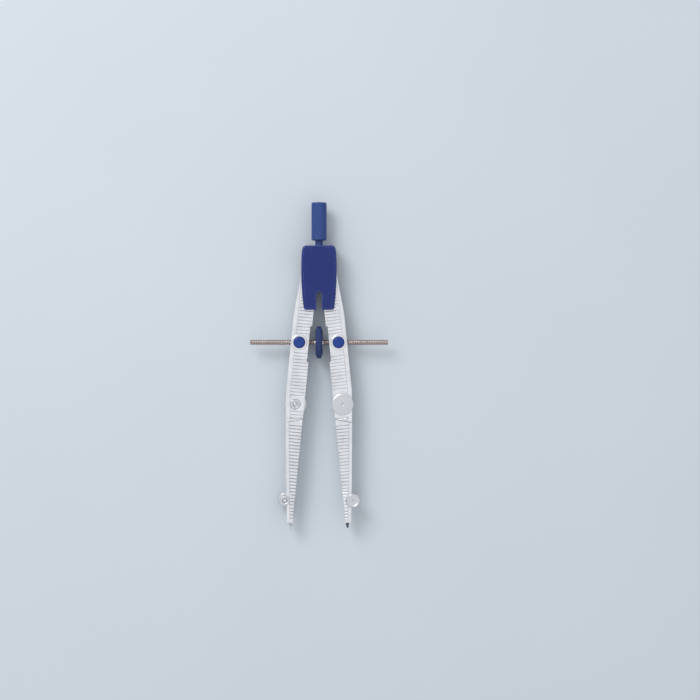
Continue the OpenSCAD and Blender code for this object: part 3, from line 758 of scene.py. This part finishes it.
for side, name in ((-1, "left"), (1, "right")):
    low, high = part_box(f"{name}_clamp_screw")
    centre = (low + high) / 2
    reach = (high.z - mid_z) if side > 0 else (mid_z - low.z)
    tail = (low.z - mid_z) if side > 0 else (mid_z - high.z)
    finish = turned_metal(f"{name}_clamp_metal", centre, turned_bright, turned_dull, 0.25)
    seat = reach - clamp_head_t
    outline = eased([
        (0, tail + 0.12 * mm), (0.35 * mm, tail + 0.02 * mm), (0.8 * mm, tail), (1 * mm, tail + 0.15 * mm),
        (1 * mm, seat), (clamp_r - 0.35 * mm, seat), (clamp_r, seat + 0.3 * mm),
        (clamp_r, reach - 0.4 * mm), (clamp_r - 0.4 * mm, reach), (clamp_r - 0.95 * mm, reach),
        (clamp_r - 1.25 * mm, reach - 0.16 * mm),
        (1.0 * mm, reach - 0.2 * mm), (0.6 * mm, reach - 0.22 * mm), (0.4 * mm, reach - 0.7 * mm),
        (0, reach - 0.75 * mm),
    ], 0.12 * mm)
    around = clamp_knurls * 8
    screw = turned_mesh(f"{name}_clamp_screw_knurled", outline, facing(centre, side), around, knurled)
    add_piece(f"{name}_clamp_screw_knurled", screw, f"{name}_clamp", finish,
              (f"{name}_clamp_screw",))
    low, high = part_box(f"{name}_clamp_nut")
    outer = mid_z - low.z if side > 0 else high.z - mid_z
    inner = outer - (high.z - low.z)
    outline = eased([
        (1.03 * mm, -inner), (clamp_nut_r, -inner), (clamp_nut_r, -outer + 0.2 * mm),
        (clamp_nut_r - 0.2 * mm, -outer), (1.35 * mm, -outer), (1.03 * mm, -outer + 0.3 * mm)], 0.1 * mm)
    add_piece(f"{name}_clamp_nut_turned",
              turned_mesh(f"{name}_clamp_nut_turned", outline, facing(centre, side), 96),
              f"{name}_lower", finish, (f"{name}_clamp_nut",))

# ---- Swivelling nuts
# Bright nickelled sockets that turn in the legs: a flange rests on the front face, and the
# spindle runs through a cross bore.
nut_r = 3.2 * mm
nut_flange_r = 3.65 * mm
bore_r = 2.6 * mm
spindle_bore_r = 1.35 * mm
nickel = (0.82, 0.83, 0.85)
for side, name in ((-1, "left"), (1, "right")):
    low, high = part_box(f"{name}_nut_body")
    centre = (low + high) / 2
    finish = turned_metal(f"{name}_nut_nickel", centre, nickel, (0.68, 0.69, 0.72), 0.16, 0.1)
    outline = eased([
        (0, -3.95 * mm), (nut_r - 0.2 * mm, -3.95 * mm), (nut_r, -3.75 * mm), (nut_r, -3.56 * mm),
        (2.9 * mm, -3.55 * mm), (2.9 * mm, -3.2 * mm), (nut_r, -3.19 * mm), (nut_r, 3.2 * mm),
        (nut_flange_r, 3.2 * mm), (nut_flange_r, 3.4 * mm), (nut_flange_r - 0.2 * mm, 3.55 * mm),
        (bore_r + 0.15 * mm, 3.55 * mm), (bore_r, 3.42 * mm), (bore_r, -3.35 * mm), (0, -3.35 * mm),
    ], 0.09 * mm)
    place = Matrix.Translation((centre.x, centre.y, mid_z))
    across = place @ Matrix.Rotation(math.pi / 2, 4, "Y")
    drill_len = 10 * mm
    drill_outline = [(0, -drill_len), (spindle_bore_r, -drill_len),
                     (spindle_bore_r, drill_len), (0, drill_len)]
    drill = turned_mesh("drill", drill_outline, across, 48)
    socket = cut_mesh(turned_mesh(f"{name}_nut_socket", outline, place, 120), drill)
    add_piece(f"{name}_nut_socket", socket, f"{name}_nut", finish, (f"{name}_nut_body",))

# ---- Release buttons and their springs
# Bright blue moulded buttons with a gently crowned top. Each has a window for the spindle
# and stands on a small coil spring on the floor of its nut.
button_r = 2.55 * mm
button_plastic = moulded_plastic("button_plastic", (0.012, 0.042, 0.23), (0.06, 0.13, 0.5), 0.22, 0.006 * mm)
spring_steel = bare_metal("spring_steel", (0.6, 0.61, 0.63), (0.45, 0.46, 0.48), 0.25)
spring_r = 1.9 * mm
wire_r = 0.15 * mm
spring_turns = 3.5
crown_rise = 0.42 * mm
steps_per_turn = 24
press = {j["name"]: j["range_m"][1] for j in frame["joints"] if j["name"].endswith("_button_press")}


def tube_mesh(name, points, radius, around=10):
    """A round wire along a line of points."""
    rings = []
    for k, point in enumerate(points):
        ahead = (points[min(k + 1, len(points) - 1)] - points[max(k - 1, 0)]).normalized()
        side_way = ahead.cross(Vector((0, 0, 1))).normalized()
        up_way = side_way.cross(ahead)
        turns = [2 * math.pi * i / around for i in range(around)]
        rings.append([point + radius * (side_way * math.cos(a) + up_way * math.sin(a)) for a in turns])
    return skinned_mesh(name, rings)


for name in ("left", "right"):
    low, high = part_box(f"{name}_release_button")
    centre = (low + high) / 2
    base, top = low.z - mid_z, high.z - mid_z
    crown = [(button_r * math.cos(a) ** 0.5, top - crown_rise + crown_rise * math.sin(a))
             for a in (math.pi / 2 * k / 14 for k in range(14))]
    outline = [(0, base), (button_r - 0.1 * mm, base), (button_r, base + 0.1 * mm), *crown, (0, top)]
    place = Matrix.Translation((centre.x, centre.y, mid_z))
    travel = press[f"{name}_button_press"]
    reach = 5 * mm
    window = block_mesh(
        "window", (centre.x - reach, centre.y - spindle_bore_r, mid_z - spindle_bore_r),
        (centre.x + reach, centre.y + spindle_bore_r, mid_z + spindle_bore_r + travel))
    button = cut_mesh(turned_mesh(f"{name}_button_crowned", outline, place, 96), window)
    add_piece(f"{name}_button_crowned", button, f"{name}_button", button_plastic,
              (f"{name}_release_button",))
    low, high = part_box(f"{name}_button_spring")
    rise = high.z - low.z - 2 * wire_r
    count = int(spring_turns * steps_per_turn)
    coil = []
    for k in range(count + 1):
        turn = 2 * math.pi * k / steps_per_turn
        x = centre.x + spring_r * math.cos(turn)
        y = centre.y + spring_r * math.sin(turn)
        coil.append(Vector((x, y, low.z + wire_r + rise * smooth_step(0.03, 0.97, k / count))))
    wire = tube_mesh(f"{name}_button_coil", coil, wire_r)
    spring = add_piece(f"{name}_button_coil", wire, f"{name}_nut", spring_steel,
                       (f"{name}_button_spring",))
    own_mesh(spring)

# ---- Needle and lead
# A hardened steel needle with a shoulder that stops it in the paper, and a graphite lead
# sharpened to a cone. Both are held in the ends of the lower legs.
point_r = 0.75 * mm


def graphite(name):
    """Pressed graphite: dark grey with a low sheen and a fine grain."""
    material, start, place = start_material(name)
    fine = place.noise(10.0, 3.0, 0.7)
    sheen = place.noise(1.5, 3.0)
    return end_material(material, start, {
        "Base Color": sheen.ease(0.3, 0.7).tint((0.05, 0.055, 0.065), (0.1, 0.11, 0.125)),
        "Metallic": 0.45,
        "Roughness": 0.42 + 0.15 * (fine - 0.5),
        "Normal": fine.bump(0.012 * mm, 0.7),
    })


def point_place(node):
    """The tip of a point and the way up its axis, from the CAD node and its slide."""
    slide = next(j for j in frame["joints"] if j["child"] == node)
    up_way = -Vector(slide["axis"]).normalized()
    heights = [(v.co.dot(up_way), v.co) for v in frame["nodes"][node].data.vertices]
    lowest = min(h for h, co in heights)
    length = max(h for h, co in heights) - lowest
    rim = [co for h, co in heights if h < lowest + 1e-6]
    tip = sum(rim, Vector()) / len(rim)
    tip -= up_way * (tip.dot(up_way) - lowest)
    return Matrix.Translation(tip) @ up_way.to_track_quat("Z", "Y").to_matrix().to_4x4(), length


needle_place, needle_len = point_place("needle")
needle_outline = eased([
    (0, 0), (0.05 * mm, 0.06 * mm), (0.36 * mm, 1.9 * mm), (0.42 * mm, 2.5 * mm),
    (point_r - 0.04 * mm, 2.75 * mm), (point_r, 3 * mm), (point_r, needle_len - 0.3 * mm),
    (point_r - 0.3 * mm, needle_len), (0, needle_len)], 0.05 * mm)
needle_steel = bare_metal("needle_steel", (0.62, 0.63, 0.66), (0.48, 0.5, 0.54), 0.2)
needle = turned_mesh("needle_shouldered", needle_outline, needle_place, 48)
add_piece("needle_shouldered", needle, "needle", needle_steel, ("needle",))

lead_place, lead_len = point_place("lead")
lead_outline = eased([
    (0, 0.05 * mm), (0.2 * mm, 0), (0.35 * mm, 0.05 * mm), (point_r, 2.0 * mm),
    (point_r, lead_len - 0.2 * mm), (point_r - 0.1 * mm, lead_len), (0, lead_len)], 0.06 * mm)
lead = turned_mesh("lead_sharpened", lead_outline, lead_place, 40)
add_piece("lead_sharpened", lead, "lead", graphite("lead_graphite"), ("lead",))

# ---- Spindle
# A brass rod with a warm nickel flash and a rolled thread: right-handed on one half and
# left-handed on the other, so that one wheel moves both legs.
spindle_low, spindle_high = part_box("spindle")
spindle_len = spindle_high.x - spindle_low.x
spindle_r = (spindle_high.z - spindle_low.z) / 2
spindle_y = (spindle_low.y + spindle_high.y) / 2
thread_pitch = 0.8 * mm
thread_depth = 0.26 * mm
collar = 2.2 * mm
tip_len = 0.5 * mm
tip_drop = 0.4 * mm
rows_per_turn = 8
spindle_around = 28
root_shade_brown = (0.33, 0.23, 0.19)
crest_dull = (0.58, 0.51, 0.49)
crest_bright = (0.68, 0.63, 0.63)


def thread_mesh(name):
    """The rod with its two threads, plain where the wheel is pressed on and tapered at the tips."""
    rows = int(spindle_len / thread_pitch * rows_per_turn)
    rings = []
    for k in range(rows + 1):
        along = -spindle_len / 2 + spindle_len * k / rows
        hand = 1 if along > 0 else -1
        threaded = smooth_step(collar * 0.8, collar, abs(along))
        tip = smooth_step(0, tip_len, spindle_len / 2 - abs(along))
        ring = []
        for turn in (i / spindle_around for i in range(spindle_around)):
            wave = abs((along / thread_pitch + hand * turn) % 1 - 0.5) * 2
            crest = smooth_step(0.15, 0.85, wave)
            radius = spindle_r - thread_depth * threaded * (1 - crest) - tip_drop * (1 - tip) * crest
            angle = 2 * math.pi * turn
            ring.append((along, spindle_y + radius * math.cos(angle), mid_z + radius * math.sin(angle)))
        rings.append(ring)
    return skinned_mesh(name, rings, 60)


def thread_metal(name):
    """Warm plated brass, brighter on the rubbed crests, with painted shade darkening the roots."""
    material, start, place = start_material(name)
    x, y, z = place.parts()
    across = start.node("ShaderNodeCombineXYZ", (), {0: y - spindle_y * 1000, 1: z - mid_z * 1000})
    radius = start.node("ShaderNodeVectorMath", {"operation": "LENGTH"}, {0: across}, 1)
    crest = radius.ease(spindle_r * 1000 - 0.26, spindle_r * 1000 - 0.03)
    clouds = place.noise(0.5, 4.0, 0.6)
    # Painted shade darkens the thread roots; the brighter crests are rubbed plating.
    crest_wear_and_root_shade = crest.tint(root_shade_brown, clouds.ease(0.3, 0.7).tint(crest_dull, crest_bright))
    return end_material(material, start, {
        "Base Color": crest_wear_and_root_shade,
        "Metallic": 1.0,
        "Roughness": 0.36 - 0.1 * crest + 0.1 * (clouds - 0.5),
        "Normal": place.noise(11.0, 2.0).bump(0.006 * mm, 0.5),
    })


add_piece("spindle_threaded", thread_mesh("spindle_threaded"), "spindle",
          thread_metal("spindle_metal"), ("spindle",))

# ---- Centre wheel
# A dark blue moulded thumb wheel pressed on the middle of the spindle. Its rim is knurled
# for grip, and its flanks are dished round a plain hub.
wheel_low, wheel_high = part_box("centre_wheel")
wheel_r = (wheel_high.z - wheel_low.z) / 2
wheel_half_t = (wheel_high.x - wheel_low.x) / 2
rim_half_t = 1.1 * mm
flank_r = 6.3 * mm
wheel_knurls = 48
knurl_depth = 0.24 * mm


def wheel_rim(angle, radius, height):
    """The wheel's surface, with knurls round its rim."""
    if radius > wheel_r - 0.3 * mm:
        wave = 0.5 + 0.5 * math.cos(angle * wheel_knurls)
        radius -= knurl_depth * wave ** 2
    return radius, height


dish = 0.3 * mm
half_outline = [
    (spindle_r + 0.05 * mm, wheel_half_t), (2.5 * mm, wheel_half_t), (2.8 * mm, wheel_half_t - dish),
    (4.9 * mm, wheel_half_t - dish), (5.3 * mm, wheel_half_t), (flank_r - dish, wheel_half_t),
    (flank_r, wheel_half_t - dish), (flank_r + 0.05 * mm, rim_half_t),
    (wheel_r - 0.32 * mm, rim_half_t), (wheel_r, rim_half_t - dish)]
wheel_outline = eased([(r, -h) for r, h in half_outline] + half_outline[::-1], 0.1 * mm)
wheel_place = Matrix.Translation((0, spindle_y, mid_z)) @ Matrix.Rotation(math.pi / 2, 4, "Y")
wheel_plastic = moulded_plastic("wheel_plastic", (0.016, 0.034, 0.13), (0.05, 0.09, 0.24), 0.38, 0.012 * mm)
wheel = turned_mesh("centre_wheel_knurled", wheel_outline, wheel_place, wheel_knurls * 6, wheel_rim)
add_piece("centre_wheel_knurled", wheel, "wheel", wheel_plastic, ("centre_wheel",))

# ---- Floor, light and camera
# A plain pale floor under a soft sky that is brightest overhead, with one large soft lamp
# beyond the handle to the left. The camera looks straight down.
floor_size = 3
sky_strength = 0.95
lamp_size = 0.5
lamp_power = 5.0
lamp_place = (-0.45, 0.6, 0.75)
camera_side = 14.4 * mm
camera_below_hinges = 38.2 * mm
camera_height = 905 * mm

floor_shape = bmesh.new()
bmesh.ops.create_grid(floor_shape, x_segments=1, y_segments=1, size=floor_size)
floor = bpy.data.objects.new("floor", finished_mesh("floor", floor_shape))
floor.location.z = cad_box[0].z
bpy.context.scene.collection.objects.link(floor)
material, start, place = start_material("floor_paint")
end_material(material, start, {
    "Base Color": place.noise(0.01, 2.0).tint((0.55, 0.6, 0.65), (0.58, 0.63, 0.68)),
    "Roughness": 0.7,
    "Specular IOR Level": 0.2,
})
floor.data.materials.append(material)

world = bpy.data.worlds.new("studio")
bpy.context.scene.world = world
world.use_nodes = True
world.node_tree.nodes.clear()
sky = Shade(world.node_tree)
direction = sky.node("ShaderNodeTexCoord", (), (), 0)
height = direction.parts()[2]
tone = height.ease(-0.1, 0.95).tint((0.42, 0.43, 0.45), (0.95, 0.96, 0.98))
light = sky.node("ShaderNodeBackground", (), {"Color": tone, "Strength": sky_strength})
sky.node("ShaderNodeOutputWorld", (), {0: light})

lamp = bpy.data.lights.new("key", "AREA")
lamp.shape = "SQUARE"
lamp.size = lamp_size
lamp.energy = lamp_power
lamp_holder = bpy.data.objects.new("key", lamp)
bpy.context.scene.collection.objects.link(lamp_holder)
lamp_holder.location = lamp_place
lamp_aim = Vector((0, 0, mid_z)) - Vector(lamp_place)
lamp_holder.rotation_euler = lamp_aim.to_track_quat("-Z", "Y").to_euler()

camera = bpy.data.cameras.new("camera")
camera.lens = 100
camera.sensor_width = 36
camera.clip_start = 0.05
camera_holder = bpy.data.objects.new("camera", camera)
bpy.context.scene.collection.objects.link(camera_holder)
camera_holder.location = (camera_side, hinge_y - camera_below_hinges, mid_z + camera_height)
bpy.context.scene.camera = camera_holder
bpy.context.scene.view_settings.view_transform = "Standard"
